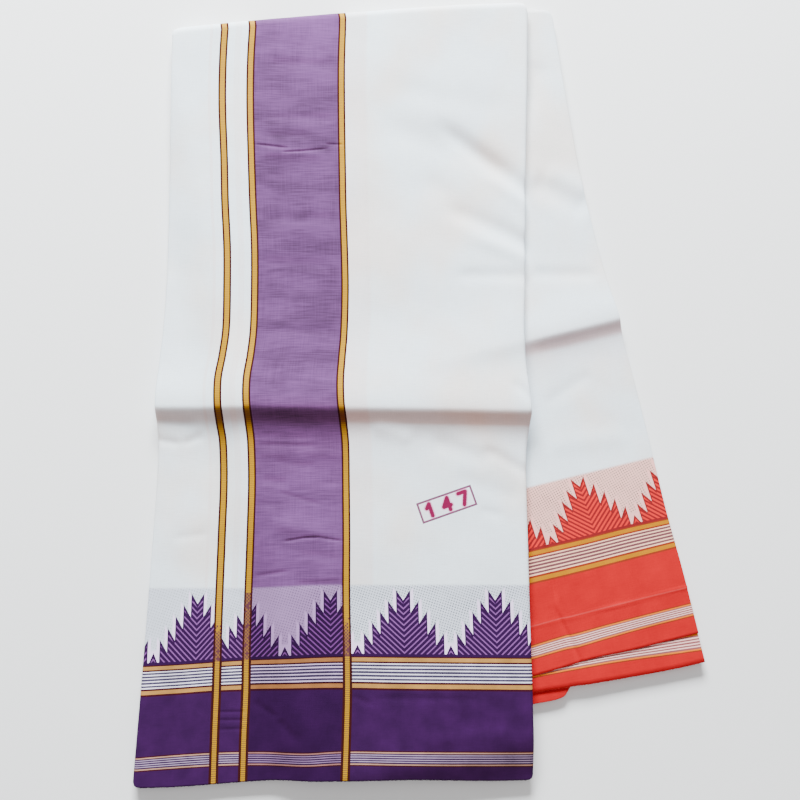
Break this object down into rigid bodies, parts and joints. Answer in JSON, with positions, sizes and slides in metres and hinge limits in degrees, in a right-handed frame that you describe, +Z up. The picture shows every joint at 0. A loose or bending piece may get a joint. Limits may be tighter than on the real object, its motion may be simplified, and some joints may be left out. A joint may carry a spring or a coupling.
{
  "type": "folded dhoti cloth",
  "caption": "Cotton dhoti cloth with temple borders, folded lengthwise, turned over once and lying flat with its back flap fanned out.",
  "frame": {"origin": "middle of the pack's box, on the surface that the pack lies on", "axes": "+X across the front flap, to the side where the back flap shows; +Y from the selvedges up to the fold; +Z up, away from the surface"},
  "size_m": [0.4705, 0.6829, 0.0286],
  "materials": {
    "front_cloth": "matt plain-woven cotton, purple border and golden stripes",
    "front_folds": "matt plain-woven cotton, seen at the edges",
    "back_cloth": "matt plain-woven cotton, orange-red border",
    "back_under_cloth": "matt plain-woven cotton, orange-red border",
    "back_folds": "matt plain-woven cotton, seen at the edges"
  },
  "bodies": {
    "root": {"front_sheet": "front_cloth", "front_layers": "front_folds", "back_sheet": "back_cloth", "back_second_sheet": "back_under_cloth", "back_layers": "back_folds"}
  },
  "joints": []
}
